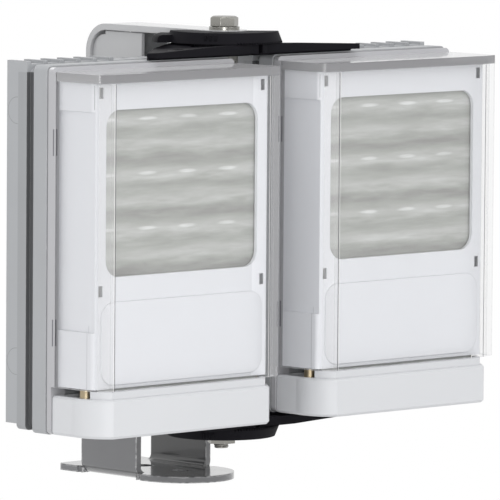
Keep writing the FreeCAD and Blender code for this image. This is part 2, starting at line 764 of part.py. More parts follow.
def stirrup():
    """One folded strip: upper arm, web and lower arm, with round ends at the pan bolts."""
    top = arm_under + sheet
    bottom = 2 * lamp_middle - top
    outer = box(-stirrup_half, stirrup_half, pan_y, stirrup_rear, bottom, top)
    inner = box(-stirrup_half, stirrup_half, pan_y - 1, stirrup_rear - sheet, bottom + sheet, top - sheet)

    def rounded(block, radius, y):
        edges = []
        for edge in block.Edges:
            along_x = abs(edge.tangentAt(edge.FirstParameter).x) > 0.999
            if along_x and abs(edge.Vertexes[0].Point.y - y) < 0.01:
                edges.append(edge)
        return block.makeFillet(radius, edges)

    solid = rounded(outer, stirrup_bend, stirrup_rear)
    solid = solid.cut(rounded(inner, stirrup_bend - sheet, stirrup_rear - sheet))
    for z in (bottom, top - sheet):
        solid = solid.fuse(rod(stirrup_half, sheet, (0, pan_y, z), (0, 0, 1)))
        solid = solid.cut(rod(bolt_radius + shaft_clearance, sheet + 2, (0, pan_y, z - 1), (0, 0, 1)))
    for z in rivet_heights():
        solid = solid.cut(rod(rivet_radius, sheet + 2, (0, stirrup_rear + 1, z), (0, -1, 0)))
    return solid


def rivet_heights():
    """The heights of the rivets that join the channel to the stirrup's web."""
    span = stack_rise - stirrup_bend - rivet_inset
    return [lamp_middle + k * span for k in (-1.0, -0.33, 0.33, 1.0)]


def cheek_outline(x):
    """A channel cheek in side view, with a stepped and rounded corner at each end."""
    rear = stirrup_rear - sheet
    front = rear - channel_reach
    top = arm_under - channel_gap
    step_y = rear - channel_step_depth
    radius = stirrup_bend - sheet - channel_gap - channel_step
    low = 2 * lamp_middle - top
    bend = math.sqrt(0.5)

    def corner(z_end, way):
        z_step = z_end - way * channel_step
        start = Vector(x, rear - radius, z_step)
        mid = Vector(x, rear - radius + radius * bend, z_step - way * radius * (1 - bend))
        end = Vector(x, rear, z_step - way * radius)
        return Vector(x, step_y, z_end), Vector(x, step_y, z_step), start, mid, end

    t0, t1, t2, t3, t4 = corner(top, 1)
    b0, b1, b2, b3, b4 = corner(low, -1)
    edges = [
        Part.makeLine(Vector(x, front, top), t0),
        Part.makeLine(t0, t1),
        Part.makeLine(t1, t2),
        Part.Arc(t2, t3, t4).toShape(),
        Part.makeLine(t4, b4),
        Part.Arc(b4, b3, b2).toShape(),
        Part.makeLine(b2, b1),
        Part.makeLine(b1, b0),
        Part.makeLine(b0, Vector(x, front, low)),
        Part.makeLine(Vector(x, front, low), Vector(x, front, top)),
    ]
    return Part.Face(Part.Wire(edges))


def inner_channel():
    """The folded channel riveted inside the stirrup: a web and two cheeks with round lugs."""
    rear = stirrup_rear - sheet
    span = stack_rise - stirrup_bend - 4.0
    solid = box(-channel_half, channel_half, rear - channel_sheet, rear,
                lamp_middle - span, lamp_middle + span)
    for x in (-channel_half, channel_half - channel_sheet):
        solid = solid.fuse(cheek_outline(x).extrude(Vector(channel_sheet, 0, 0)))
        solid = solid.fuse(rod(lug_radius, channel_sheet, (x, 0, tilt_height), (1, 0, 0)))
    solid = solid.cut(rod(bolt_radius + shaft_clearance, 2 * channel_half + 2,
                          (-channel_half - 1, 0, tilt_height), (1, 0, 0)))
    for z in rivet_heights():
        solid = solid.cut(rod(rivet_radius, 10.0, (0, rear + 1, z), (0, -1, 0)))
    return solid


def channel_rivets():
    """Rivets through the stirrup's web and the channel's web."""
    group = []
    inner = stirrup_rear - sheet - channel_sheet
    for z in rivet_heights():
        shank = rod(rivet_radius, sheet + channel_sheet, (0, inner, z), (0, 1, 0))
        outer_head = rod(rivet_head, rivet_head_height, (0, stirrup_rear, z), (0, 1, 0))
        inner_head = rod(rivet_head, rivet_head_height, (0, inner, z), (0, -1, 0))
        group.append(shank.fuse(outer_head).fuse(inner_head))
    return Part.makeCompound(group)


def bolt(length, height, way):
    """A hexagon-head bolt on the pan axis; way is the side of the head that the shank is on."""
    head = hexagon(bolt_head_flats, bolt_head_height, (0, pan_y, height), (0, 0, 1))
    shank = rod(bolt_radius, length, (0, pan_y, height), (0, 0, -1))
    return head.fuse(shank) if way < 0 else mirrored_down(head.fuse(shank))


def nut(height, flats, thickness, radius):
    """A hexagon nut that stands on a height, on the pan axis."""
    body = hexagon(flats, thickness, (0, pan_y, height), (0, 0, 1))
    return body.cut(rod(radius, thickness + 2, (0, pan_y, height - 1), (0, 0, 1)))


def foot_bracket():
    """One folded plate: a foot with a round front and two cheeks turned up at its sides."""
    wide = 2 * foot_half
    plate = box(-foot_half, foot_half, -foot_front + foot_half, foot_rear, 0, foot_sheet)
    plate = plate.fuse(rod(foot_half, foot_sheet, (0, -foot_front + foot_half, 0), (0, 0, 1)))
    corners = [e for e in upright_edges(plate) if e.Vertexes[0].Point.y > foot_rear - 1.0]
    plate = plate.makeFillet(4.0, corners)
    solid = plate
    channel = box(-foot_half, foot_half, -cheek_front, cheek_rear, 0, tilt_height)
    edges = []
    for edge in channel.Edges:
        along_y = abs(edge.tangentAt(edge.FirstParameter).y) > 0.999
        if along_y and edge.Vertexes[0].Point.z < 1.0:
            edges.append(edge)
    channel = channel.makeFillet(foot_bend + foot_sheet, edges)
    hollow = box(-foot_half + foot_sheet, foot_half - foot_sheet, -cheek_front - 1, cheek_rear + 1,
                 foot_sheet, tilt_height + 1)
    edges = []
    for edge in hollow.Edges:
        along_y = abs(edge.tangentAt(edge.FirstParameter).y) > 0.999
        if along_y and edge.Vertexes[0].Point.z < foot_sheet + 1.0:
            edges.append(edge)
    hollow = hollow.makeFillet(foot_bend, edges)
    cleared = box(-foot_half - 1, -foot_half + foot_bend + foot_sheet, -cheek_front, cheek_rear,
                  -1, foot_sheet + 1)
    solid = solid.cut(cleared).cut(mirrored_across(cleared))
    solid = solid.fuse(channel.cut(hollow))
    for x in (-foot_half, foot_half - foot_sheet):
        solid = solid.fuse(cheek_top(x))
    for x in (-foot_half, foot_half):
        for y in (-cheek_front, cheek_rear):
            away = math.copysign(relief, y)
            solid = solid.cut(rod(relief, 20.0, (x, y + away, -1), (0, 0, 1)))
    solid = solid.cut(rod(bolt_radius + shaft_clearance, wide + 2,
                          (-foot_half - 1, 0, tilt_height), (1, 0, 0)))
    solid = solid.cut(rod(fixing_radius, foot_sheet + 2, (0, 0, -1), (0, 0, 1)))
    for y in (-slot_offset, slot_offset):
        solid = solid.cut(slot_tool(y))
    return solid


def cheek_top(x):
    """The round top of a cheek."""
    radius = (cheek_front + cheek_rear) / 2
    return rod(radius, foot_sheet, (x, (cheek_rear - cheek_front) / 2, tilt_height), (1, 0, 0))


def slot_tool(y):
    """A fixing slot that runs along the foot."""
    reach = slot_length / 2 - slot_radius
    tool = box(-slot_radius, slot_radius, y - reach, y + reach, -1, foot_sheet + 1)
    for end in (y - reach, y + reach):
        tool = tool.fuse(rod(slot_radius, foot_sheet + 2, (0, end, -1), (0, 0, 1)))
    return tool


def tilt_bolt():
    """The tilt axis: a long hexagon bolt through both cheeks of the foot and the channel."""
    grip = 2 * foot_half + 2 * washer_thickness
    head_x = -foot_half - washer_thickness
    head = hexagon(bolt_head_flats, bolt_head_height, (head_x, 0, tilt_height), (-1, 0, 0), 8.0)
    return head.fuse(rod(bolt_radius, grip + nut_height + bolt_end, (head_x, 0, tilt_height), (1, 0, 0)))


def tilt_nut():
    """The locking nut at the tilt bolt's right end."""
    start = (foot_half + washer_thickness, 0, tilt_height)
    body = hexagon(bolt_head_flats, nut_height, start, (1, 0, 0), 20.0)
    return body.cut(rod(bolt_radius, nut_height + 2, (start[0] - 1, 0, tilt_height), (1, 0, 0)))


def ring(outer, inner, thickness, x):
    """A washer on the tilt axis."""
    disc = rod(outer, thickness, (x, 0, tilt_height), (1, 0, 0))
    return disc.cut(rod(inner, thickness + 2, (x - 1, 0, tilt_height), (1, 0, 0)))


def tilt_washers():
    """Steel washers under the tilt bolt's head and nut."""
    left = ring(washer_radius, bolt_radius, washer_thickness, -foot_half - washer_thickness)
    right = ring(washer_radius, bolt_radius, washer_thickness, foot_half)
    return Part.makeCompound([left, right])


def tilt_spacers():
    """Nylon friction rings between the channel's cheeks and the foot's."""
    room = foot_half - foot_sheet - channel_half - running_gap
    left = ring(spacer_radius, bolt_radius, room, -foot_half + foot_sheet)
    return Part.makeCompound([left, mirrored_across(left)])


def write_lamp(name, side):
    """Writes every piece of one lamp."""
    pieces = {
        "heatsink": heatsink,
        "cover_gasket": gasket,
        "clear_cover": clear_cover,
        "white_bezel": bezel,
        "end_cap": end_cap,
        "cap_screws": cap_knobs,
        "diffuser": diffuser,
        "reflector": reflector,
        "led_board": led_board,
        "leds": leds,
        "thermal_pad": thermal_pad,
        "driver_board": driver_board,
        "driver_parts": driver_parts,
        "cable_gland": cable_gland,
        "cover_screws": cover_screws,
        "arm_screws": arm_screws,
    }
    for piece, build in pieces.items():
        keep(name + "_" + piece, build(side))


def write_hinges():
    """Writes the four arms, the two index caps and the pan bolts with their nuts."""
    left = top_arm()
    right = lifted_knuckle(left)
    keep("left_top_arm", left)
    keep("left_bottom_arm", mirrored_down(left))
    keep("right_top_arm", right)
    keep("right_bottom_arm", mirrored_down(right))
    cap = index_cap()
    keep("top_index_cap", cap)
    keep("bottom_index_cap", mirrored_down(cap))
    seat = arm_under + sheet
    stack = seat - lamp_top
    grip = stack + nut_height + bolt_end
    keep("top_pivot_bolt", bolt(grip + washer_thickness, seat + washer_thickness, -1))
    washer = rod(washer_radius, washer_thickness, (0, pan_y, seat), (0, 0, 1))
    keep("top_pivot_washer", washer.cut(rod(bolt_radius, 9.0, (0, pan_y, seat - 1), (0, 0, 1))))
    keep("top_pivot_nut", nut(lamp_top - nut_height - running_gap, bolt_head_flats, nut_height,
                              bolt_radius))
    low_seat = 2 * lamp_middle - seat
    head_z = lamp_lift + running_gap
    low_bolt = hexagon(bolt_head_flats, bolt_head_height, (0, pan_y, head_z), (0, 0, 1))
    low_bolt = low_bolt.fuse(rod(bolt_radius, head_z - low_seat + thin_nut_height + bolt_end,
                                 (0, pan_y, head_z), (0, 0, -1)))
    keep("bottom_pivot_bolt", low_bolt)
    low_nut = nut(low_seat - thin_nut_height, bolt_head_flats, thin_nut_height, bolt_radius)
    keep("bottom_pivot_nut", low_nut)


def write_support():
    """Writes the stirrup, its channel, the foot and the tilt axis."""
    keep("stirrup", stirrup())
    keep("inner_channel", inner_channel())
    keep("channel_rivets", channel_rivets())
    keep("foot_bracket", foot_bracket())
    keep("tilt_bolt", tilt_bolt())
    keep("tilt_nut", tilt_nut())
    keep("tilt_washers", tilt_washers())
    keep("tilt_spacers", tilt_spacers())


write_lamp("left", -1)
write_lamp("right", 1)
write_hinges()
write_support()
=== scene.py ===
import math
import bpy
import numpy as np
from mathutils import Matrix, Vector


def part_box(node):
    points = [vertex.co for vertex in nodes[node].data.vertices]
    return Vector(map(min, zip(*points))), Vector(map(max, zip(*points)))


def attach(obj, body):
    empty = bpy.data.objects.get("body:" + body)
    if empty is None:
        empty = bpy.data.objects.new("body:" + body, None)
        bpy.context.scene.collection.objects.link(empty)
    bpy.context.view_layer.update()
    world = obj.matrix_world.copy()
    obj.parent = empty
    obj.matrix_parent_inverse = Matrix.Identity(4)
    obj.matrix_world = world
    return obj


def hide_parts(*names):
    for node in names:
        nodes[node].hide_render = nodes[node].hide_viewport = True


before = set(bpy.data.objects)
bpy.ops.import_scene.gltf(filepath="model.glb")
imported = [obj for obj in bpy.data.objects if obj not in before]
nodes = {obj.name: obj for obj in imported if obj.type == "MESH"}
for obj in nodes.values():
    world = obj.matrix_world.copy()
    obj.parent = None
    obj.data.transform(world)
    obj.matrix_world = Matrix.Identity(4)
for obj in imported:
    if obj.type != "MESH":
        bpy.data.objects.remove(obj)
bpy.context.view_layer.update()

# Studio
# A pale floor and a white surround, both plain white to the camera so that the floor shows no
# shadow, and three soft lamps.
# The camera is a long lens a little above the lamps' middle, off their left corner.

camera_place = Vector((-2.5079, -2.6776, 0.4422))
camera_aim = Vector((0.01987, -0.0600, 0.12139))
camera_roll = math.radians(0.44)
camera_lens = 500.3
floor_reach = 6.0
floor_drop = 0.0004

ahead = (camera_aim - camera_place).normalized()
level_right = ahead.cross(Vector((0, 0, 1))).normalized()
level_up = level_right.cross(ahead)
right = level_right * math.cos(camera_roll) + level_up * math.sin(camera_roll)
up = level_up * math.cos(camera_roll) - level_right * math.sin(camera_roll)
camera_data = bpy.data.cameras.new("studio_camera")
camera_data.lens = camera_lens
camera_data.sensor_width = 36.0
camera_data.clip_end = 50.0
camera = bpy.data.objects.new("studio_camera", camera_data)
camera.matrix_world = Matrix((
    (right.x, up.x, -ahead.x, camera_place.x),
    (right.y, up.y, -ahead.y, camera_place.y),
    (right.z, up.z, -ahead.z, camera_place.z),
    (0, 0, 0, 1),
))
bpy.context.scene.collection.objects.link(camera)
bpy.context.scene.camera = camera
bpy.context.scene.view_settings.view_transform = "Standard"


def shade(tree, kind, sockets=None, **settings):
    """Adds one shader node; a socket's value is a constant, or another node's output to link."""
    node = tree.nodes.new(kind)
    for name, value in settings.items():
        setattr(node, name, value)
    for key, value in (sockets or {}).items():
        if isinstance(value, bpy.types.NodeSocket):
            tree.links.new(value, node.inputs[key])
        else:
            node.inputs[key].default_value = value
    return node


def white_for_camera(tree, surface, strength):
    """Mixes a surface with plain white light, for rays from the camera, metal and glass only."""
    path = shade(tree, "ShaderNodeLightPath")
    seen = shade(tree, "ShaderNodeMath", {0: path.outputs["Is Camera Ray"],
                                          1: path.outputs["Is Glossy Ray"]}, operation="MAXIMUM")
    seen = shade(tree, "ShaderNodeMath", {0: seen.outputs[0],
                                          1: path.outputs["Is Transmission Ray"]},
                 operation="MAXIMUM")
    share = shade(tree, "ShaderNodeMath", {0: seen.outputs[0], 1: strength}, operation="MULTIPLY")
    glow = shade(tree, "ShaderNodeEmission", {"Color": (1, 1, 1, 1), "Strength": 1.0})
    return shade(tree, "ShaderNodeMixShader", {0: share.outputs[0], 1: surface,
                                               2: glow.outputs[0]})


floor_mesh = bpy.data.meshes.new("studio_floor")
floor_mesh.from_pydata([(-floor_reach, -floor_reach, -floor_drop),
                        (floor_reach, -floor_reach, -floor_drop),
                        (floor_reach, floor_reach, -floor_drop),
                        (-floor_reach, floor_reach, -floor_drop)], [], [(0, 1, 2, 3)])
floor = bpy.data.objects.new("studio_floor", floor_mesh)
bpy.context.scene.collection.objects.link(floor)
paper = bpy.data.materials.new("white_paper")
paper.use_nodes = True
paper.node_tree.nodes.clear()
sheet = shade(paper.node_tree, "ShaderNodeBsdfDiffuse", {"Color": (0.86, 0.86, 0.86, 1)})
sheet = white_for_camera(paper.node_tree, sheet.outputs[0], 1.0)
shade(paper.node_tree, "ShaderNodeOutputMaterial", {"Surface": sheet.outputs[0]})
floor_mesh.materials.append(paper)

world = bpy.data.worlds.new("white_room")
world.use_nodes = True
world.node_tree.nodes.clear()
room = shade(world.node_tree, "ShaderNodeBackground", {"Color": (1, 1, 1, 1), "Strength": 0.74})
room = white_for_camera(world.node_tree, room.outputs[0], 1.0)
shade(world.node_tree, "ShaderNodeOutputWorld", {"Surface": room.outputs[0]})
bpy.context.scene.world = world


def soft_lamp(name, place, aim, size, power):
    """A square area lamp at a place, turned towards a point."""
    data = bpy.data.lights.new(name, "AREA")
    data.shape = "SQUARE"
    data.size = size
    data.energy = power
    lamp = bpy.data.objects.new(name, data)
    lamp.location = place
    lamp.rotation_euler = (Vector(aim) - Vector(place)).to_track_quat("-Z", "Y").to_euler()
    bpy.context.scene.collection.objects.link(lamp)
    return lamp


object_middle = (0.0, -0.06, 0.12)
soft_lamp("front_lamp", (0.3, -2.2, 1.1), object_middle, 1.6, 7.5)
soft_lamp("top_lamp", (-0.4, -0.3, 2.2), object_middle, 1.4, 13.0)
soft_lamp("near_lamp", (-1.75, -1.88, 0.36), object_middle, 0.6, 15.5)

# Foot bracket
# The foot is one plate of 3.5 mm steel, cut, folded up at both sides and coated mid grey.
# The cheeks' inner faces and the plate's top between them are darkened as painted shade, and the
# cut edges are paler: partly edge wear, partly a painted highlight of the glints along them.

foot_grey = (0.172, 0.174, 0.182)


def grouped(name, ins, outs):
    """Starts a shared node group with named inputs and outputs."""
    tree = bpy.data.node_groups.new(name, "ShaderNodeTree")
    for label, kind, value in ins:
        socket = tree.interface.new_socket(label, in_out="INPUT", socket_type=kind)
        socket.default_value = value
    for label, kind in outs:
        tree.interface.new_socket(label, in_out="OUTPUT", socket_type=kind)
    return tree, tree.nodes.new("NodeGroupInput"), tree.nodes.new("NodeGroupOutput")


# Coat grain: two sizes of noise, fine for the height and coarse for the tone.
grain_tree, grain_in, grain_out = grouped(
    "coat_grain",
    [("Grain per m", "NodeSocketFloat", 1500.0), ("Cloud per m", "NodeSocketFloat", 30.0)],
    [("Height", "NodeSocketFloat"), ("Tone", "NodeSocketFloat")])
grain_place = shade(grain_tree, "ShaderNodeTexCoord")
fine = shade(grain_tree, "ShaderNodeTexNoise",
             {"Vector": grain_place.outputs["Object"], "Scale": grain_in.outputs[0],
              "Detail": 2.0, "Roughness": 0.5})
coarse = shade(grain_tree, "ShaderNodeTexNoise",
               {"Vector": grain_place.outputs["Object"], "Scale": grain_in.outputs[1],
                "Detail": 4.0, "Roughness": 0.6})
grain_tree.links.new(fine.outputs["Fac"], grain_out.inputs[0])
grain_tree.links.new(coarse.outputs["Fac"], grain_out.inputs[1])

# Pale edges: where the rounded normal leaves the true one, broken up by noise. This is wear on
# most finishes; on the foot it is partly a painted highlight, on the clear covers a painted sheen.
pale_edge_tree, pale_edge_in, pale_edge_out = grouped(
    "pale_edges",
    [("Width", "NodeSocketFloat", 0.0008), ("Amount", "NodeSocketFloat", 1.0)],
    [("Mask", "NodeSocketFloat"), ("Normal", "NodeSocketVector")])
rounded = shade(pale_edge_tree, "ShaderNodeBevel", {"Radius": pale_edge_in.outputs[0]}, samples=6)
true_side = shade(pale_edge_tree, "ShaderNodeNewGeometry")
agree = shade(pale_edge_tree, "ShaderNodeVectorMath",
              {0: rounded.outputs[0], 1: true_side.outputs["Normal"]}, operation="DOT_PRODUCT")
bend = shade(pale_edge_tree, "ShaderNodeMapRange",
             {"Value": agree.outputs["Value"], "From Min": 0.995, "From Max": 0.80,
              "To Min": 0.0, "To Max": 1.0})
pale_edge_place = shade(pale_edge_tree, "ShaderNodeTexCoord")
edge_patches = shade(pale_edge_tree, "ShaderNodeTexNoise",
              {"Vector": pale_edge_place.outputs["Object"], "Scale": 260.0, "Detail": 3.0})
edge_patches = shade(pale_edge_tree, "ShaderNodeMapRange",
              {"Value": edge_patches.outputs["Fac"], "From Min": 0.40, "From Max": 0.62})
mask = shade(pale_edge_tree, "ShaderNodeMath", {0: bend.outputs[0], 1: edge_patches.outputs[0]},
             operation="MULTIPLY")
mask = shade(pale_edge_tree, "ShaderNodeMath", {0: mask.outputs[0], 1: pale_edge_in.outputs[1]},
             operation="MULTIPLY")
pale_edge_tree.links.new(mask.outputs[0], pale_edge_out.inputs[0])
pale_edge_tree.links.new(rounded.outputs[0], pale_edge_out.inputs[1])


def coated(name, colour, worn, roughness, grain=1500.0, bump=0.00002, edge=0.0006,
           pale_edge_amount=0.5, cloud=0.10, **principled):
    """A finish with grain in its height, clouds in its tone and a paler line along its edges."""
    material = bpy.data.materials.new(name)
    material.use_nodes = True
    tree = material.node_tree
    tree.nodes.clear()
    grain_node = shade(tree, "ShaderNodeGroup", node_tree=grain_tree)
    grain_node.inputs["Grain per m"].default_value = grain
    pale_edge_node = shade(tree, "ShaderNodeGroup", node_tree=pale_edge_tree)
    pale_edge_node.inputs["Width"].default_value = edge
    pale_edge_node.inputs["Amount"].default_value = pale_edge_amount
    dark = tuple(c * (1.0 - cloud) for c in colour) + (1.0,)
    pale = tuple(min(c * (1.0 + cloud), 1.0) for c in colour) + (1.0,)
    tone = shade(tree, "ShaderNodeMix", {0: grain_node.outputs["Tone"], 6: dark, 7: pale},
                 data_type="RGBA")
    face = shade(tree, "ShaderNodeMix", {0: pale_edge_node.outputs["Mask"], 6: tone.outputs[2],
                                         7: tuple(worn) + (1.0,)}, data_type="RGBA")
    rough = shade(tree, "ShaderNodeMapRange",
                  {"Value": grain_node.outputs["Tone"], "From Min": 0.3, "From Max": 0.7,
                   "To Min": roughness * 0.85, "To Max": roughness * 1.15})
    relief = shade(tree, "ShaderNodeBump", {"Height": grain_node.outputs["Height"],
                                            "Normal": pale_edge_node.outputs["Normal"],
                                            "Strength": 1.0, "Distance": bump})
    skin = {"Base Color": face.outputs[2], "Roughness": rough.outputs[0],
            "Normal": relief.outputs[0]}
    skin.update(principled)
    surface = shade(tree, "ShaderNodeBsdfPrincipled", skin)
    shade(tree, "ShaderNodeOutputMaterial", {"Surface": surface.outputs[0]})
    return material


def dress(names, material):
    """Gives CAD nodes their finish."""
    for name in names:
        mesh = nodes[name].data
        mesh.materials.clear()
        mesh.materials.append(material)


# The near white edge colour and the strong pale edges are partly wear and partly a painted
# highlight of the glints along the foot's edges.
foot_coat = coated("foot_coat", foot_grey, (0.95, 0.95, 0.96), 0.22, grain=900.0,
                   bump=0.00003, edge=0.0014, pale_edge_amount=1.6, **{"Coat Weight": 0.8})
# Inside box: 1 between two corners, with a soft border. X counts from the middle plane either way.
inside_tree, inside_in, inside_out = grouped(
    "inside_box",
    [("Low", "NodeSocketVector", (0.0, 0.0, 0.0)), ("High", "NodeSocketVector", (1.0, 1.0, 1.0)),
     ("Border", "NodeSocketFloat", 0.0001)],
    [("Mask", "NodeSocketFloat")])
inside_place = shade(inside_tree, "ShaderNodeTexCoord")
inside_axes = shade(inside_tree, "ShaderNodeSeparateXYZ", {0: inside_place.outputs["Object"]})
aside = shade(inside_tree, "ShaderNodeMath", {0: inside_axes.outputs["X"]}, operation="ABSOLUTE")
folded = shade(inside_tree, "ShaderNodeCombineXYZ", {"X": aside.outputs[0],
                                                     "Y": inside_axes.outputs["Y"],
                                                     "Z": inside_axes.outputs["Z"]})
past_low = shade(inside_tree, "ShaderNodeVectorMath", {0: folded.outputs[0],
                                                       1: inside_in.outputs[0]},
                 operation="SUBTRACT")
to_high = shade(inside_tree, "ShaderNodeVectorMath", {0: inside_in.outputs[1],
                                                      1: folded.outputs[0]},
                operation="SUBTRACT")
nearer = shade(inside_tree, "ShaderNodeVectorMath", {0: past_low.outputs[0],
                                                     1: to_high.outputs[0]},
               operation="MINIMUM")
nearer = shade(inside_tree, "ShaderNodeSeparateXYZ", {0: nearer.outputs[0]})
least = shade(inside_tree, "ShaderNodeMath", {0: nearer.outputs["X"], 1: nearer.outputs["Y"]},
              operation="MINIMUM")
least = shade(inside_tree, "ShaderNodeMath", {0: least.outputs[0], 1: nearer.outputs["Z"]},
              operation="MINIMUM")
inside = shade(inside_tree, "ShaderNodeMapRange", {"Value": least.outputs[0], "From Min": 0.0,
                                                   "From Max": inside_in.outputs[2]})
inside_tree.links.new(inside.outputs[0], inside_out.inputs[0])


def inside_mask(tree, low, high, border=0.0001):
    """The mask of one inside_box group."""
    node = shade(tree, "ShaderNodeGroup", node_tree=inside_tree)
    node.inputs["Low"].default_value = low
    node.inputs["High"].default_value = high
    node.inputs["Border"].default_value = border
    return node.outputs["Mask"]


def toned(material, mask, factor):
    """Multiplies a finish's colour where a mask in its own tree is 1."""
    tree = material.node_tree
    surface = next(node for node in tree.nodes if node.type == "BSDF_PRINCIPLED")
    colour = surface.inputs["Base Color"].links[0].from_socket
    mixed = shade(tree, "ShaderNodeMix", {0: mask, 6: colour, 7: (factor, factor, factor, 1)},
                  data_type="RGBA", blend_type="MULTIPLY")
    tree.links.new(mixed.outputs[2], surface.inputs["Base Color"])


def toned_within(material, low, high, factor, border=0.0003):
    """Multiplies a finish's colour between two corners."""
    toned(material, inside_mask(material.node_tree, low, high, border), factor)


cheek_inside = 0.0238
plate_top = 0.0034
# Painted shade: the cheeks' inner faces are darkened to 0.34 and the plate's top to 0.40.
toned_within(foot_coat, (0.0, -0.03, plate_top + 0.0004), (cheek_inside, 0.03, 0.09), 0.34, 0.0002)
toned_within(foot_coat, (0.0, -0.06, plate_top - 0.0003), (0.03, 0.04, plate_top + 0.0007), 0.40,
             0.0001)
dress(["foot_bracket"], foot_coat)

# Tilt axis
# A long 8 mm stainless bolt, plain washers, a nut, and nylon rings that give the friction.

steel = (0.285, 0.28, 0.26)


def turned_steel(name, colour, roughness):
    """Bright stainless with faint lines left by the tool, and small scratches."""
    return coated(name, colour, (0.75, 0.74, 0.72), roughness, grain=4200.0, bump=0.000006,
                  edge=0.0003, pale_edge_amount=0.6, cloud=0.16, Metallic=1.0)


stainless = turned_steel("stainless", steel, 0.27)
thread_pitch = 0.00125
thread_depth = 0.0006
head_flats = 0.013
head_height = 0.0055
shank_radius = 0.004


def skinned(name, rings, finish, body):
    """A closed surface through rings of places, an array (rings, places round, 3), with flat ends.

    Ring k follows ring k - 1 along the axis, and places run anticlockwise seen from the last ring.
    """
    count, around = rings.shape[:2]
    index = np.arange(count * around).reshape(count, around)
    after = np.roll(index, -1, axis=1)
    quads = np.stack([index[:-1], after[:-1], after[1:], index[1:]], axis=-1).reshape(-1, 4)
    mesh = bpy.data.meshes.new(name)
    ends = [index[0][::-1].tolist(), index[-1].tolist()]
    mesh.from_pydata(rings.reshape(-1, 3).tolist(), [], quads.tolist() + ends)
    mesh.shade_smooth()
    mesh.set_sharp_from_angle(angle=math.radians(32))
    mesh.materials.append(finish)
    piece = bpy.data.objects.new(name, mesh)
    bpy.context.scene.collection.objects.link(piece)
    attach(piece, body)
    return piece


def hexagon_bolt(node, up, across, body):
    """A bolt in a CAD bolt's place: hexagon head, plain shank and a cut thread down to its end.

    Head:   r(a) = f / 2 / cos(((a + 30) mod 60) - 30), cut back by a 30 degree cone at the top.
    Thread: r(a, h) = R - d |2 frac(h / p - a / 360) - 1|, with pitch p and depth d.
    """
    up, across = np.array(up, float), np.array(across, float)
    low, high = (np.array(corner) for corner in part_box(node))
    reach = sorted((up @ low, up @ high))
    middle = (low + high) / 2
    middle = middle - up * (up @ middle)
    seat = reach[1] - head_height
    angle = np.linspace(0.0, 2 * math.pi, 96, endpoint=False)
    sixth = math.pi / 3
    flat = head_flats / 2 / np.cos((angle + sixth / 2) % sixth - sixth / 2)
    heights, radii = [], []
    plain_from = seat - min(0.006, (seat - reach[0]) * 0.3)
    for height in np.arange(reach[0], plain_from, thread_pitch / 8):
        turn = (height / thread_pitch - angle / (2 * math.pi)) % 1.0
        worn = max(0.0, 1.0 - (height - reach[0]) / 0.0010) * thread_depth
        heights.append(height)
        radii.append(np.minimum(shank_radius - thread_depth * np.abs(2 * turn - 1),
                                shank_radius - worn))
    heights += [plain_from, seat, seat, seat + 0.0003]
    radii += [np.full(96, shank_radius)] * 2 + [np.full(96, head_flats * 0.47), flat]
    for height in np.linspace(seat + head_height * 0.6, reach[1], 7):
        cone = head_flats * 0.46 + (reach[1] - height) / math.tan(math.radians(30))
        heights.append(height)
        radii.append(np.minimum(flat, cone))
    heights, radii = np.array(heights), np.array(radii)
    side = np.cross(up, across)
    spoke = np.cos(angle)[:, None] * across + np.sin(angle)[:, None] * side
    rings = middle + up * heights[:, None, None] + spoke * radii[:, :, None]
    piece = skinned(node + "_threaded", rings, stainless, body)
    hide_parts(node)


hexagon_bolt("tilt_bolt", (-1, 0, 0), (0, 1, 0), "foot")
dress(["tilt_nut", "tilt_washers"], stainless)
dress(["tilt_spacers"], coated("nylon", (0.62, 0.62, 0.58), (0.75, 0.75, 0.72), 0.5))

# Stirrup and its channel
# Two folded pieces of steel sheet, coated light grey and riveted back to back.

bracket_grey = (0.47, 0.475, 0.485)
light_coat = coated("light_coat", bracket_grey, (0.70, 0.70, 0.71), 0.34, grain=1300.0,
                    bump=0.000012, edge=0.0011, pale_edge_amount=0.5, cloud=0.05,
                    **{"Coat Weight": 0.7, "Coat Roughness": 0.12})
dress(["stirrup", "inner_channel"], light_coat)
dress(["channel_rivets"], stainless)

# Index caps and hinge arms
# Glass-filled black nylon, moulded with a fine spark-eroded grain.

black = coated("black_moulding", (0.0060, 0.0056, 0.0080), (0.022, 0.022, 0.026), 0.62,
               grain=2600.0, bump=0.000025, edge=0.0006, pale_edge_amount=0.5, cloud=0.2,
               **{"Specular IOR Level": 0.10})
black_oxide = coated("black_oxide", (0.012, 0.012, 0.014), (0.05, 0.05, 0.05), 0.35, grain=3000.0,
                     bump=0.00001)
dress(["top_index_cap", "bottom_index_cap", "left_top_arm", "left_bottom_arm",
       "right_top_arm", "right_bottom_arm"], black)
dress(["left_arm_screws", "right_arm_screws"], black_oxide)
dress(["top_pivot_washer", "top_pivot_nut", "bottom_pivot_nut"], stainless)
hexagon_bolt("top_pivot_bolt", (0, 0, 1), (1, 0, 0), "yoke")
hexagon_bolt("bottom_pivot_bolt", (0, 0, 1), (1, 0, 0), "yoke")

# Heatsinks
# Sand-cast aluminium under a thin satin coat.

cast = coated("cast_aluminium", (0.40, 0.41, 0.425), (0.64, 0.64, 0.65), 0.44, grain=2100.0,
              bump=0.000025, edge=0.0008, pale_edge_amount=0.5, cloud=0.06, Metallic=0.1)
groove_front = 0.0201
groove_rear = 0.0147
fin_depth = 0.0082

cast_low, cast_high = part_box("right_heatsink")
groove_top = cast_high.z - 0.0055
# Painted shade: the groove between the flange and the fins is darkened to 0.27. The strip between
# the groove and the fins is darkened to 0.85.
toned_within(cast, (0.0, cast_high.y - groove_front, 0.0),
             (0.2, cast_high.y - groove_rear, groove_top), 0.27, 0.0001)
toned_within(cast, (0.0, cast_high.y - groove_rear, 0.0),
             (0.2, cast_high.y - fin_depth, groove_top), 0.85)


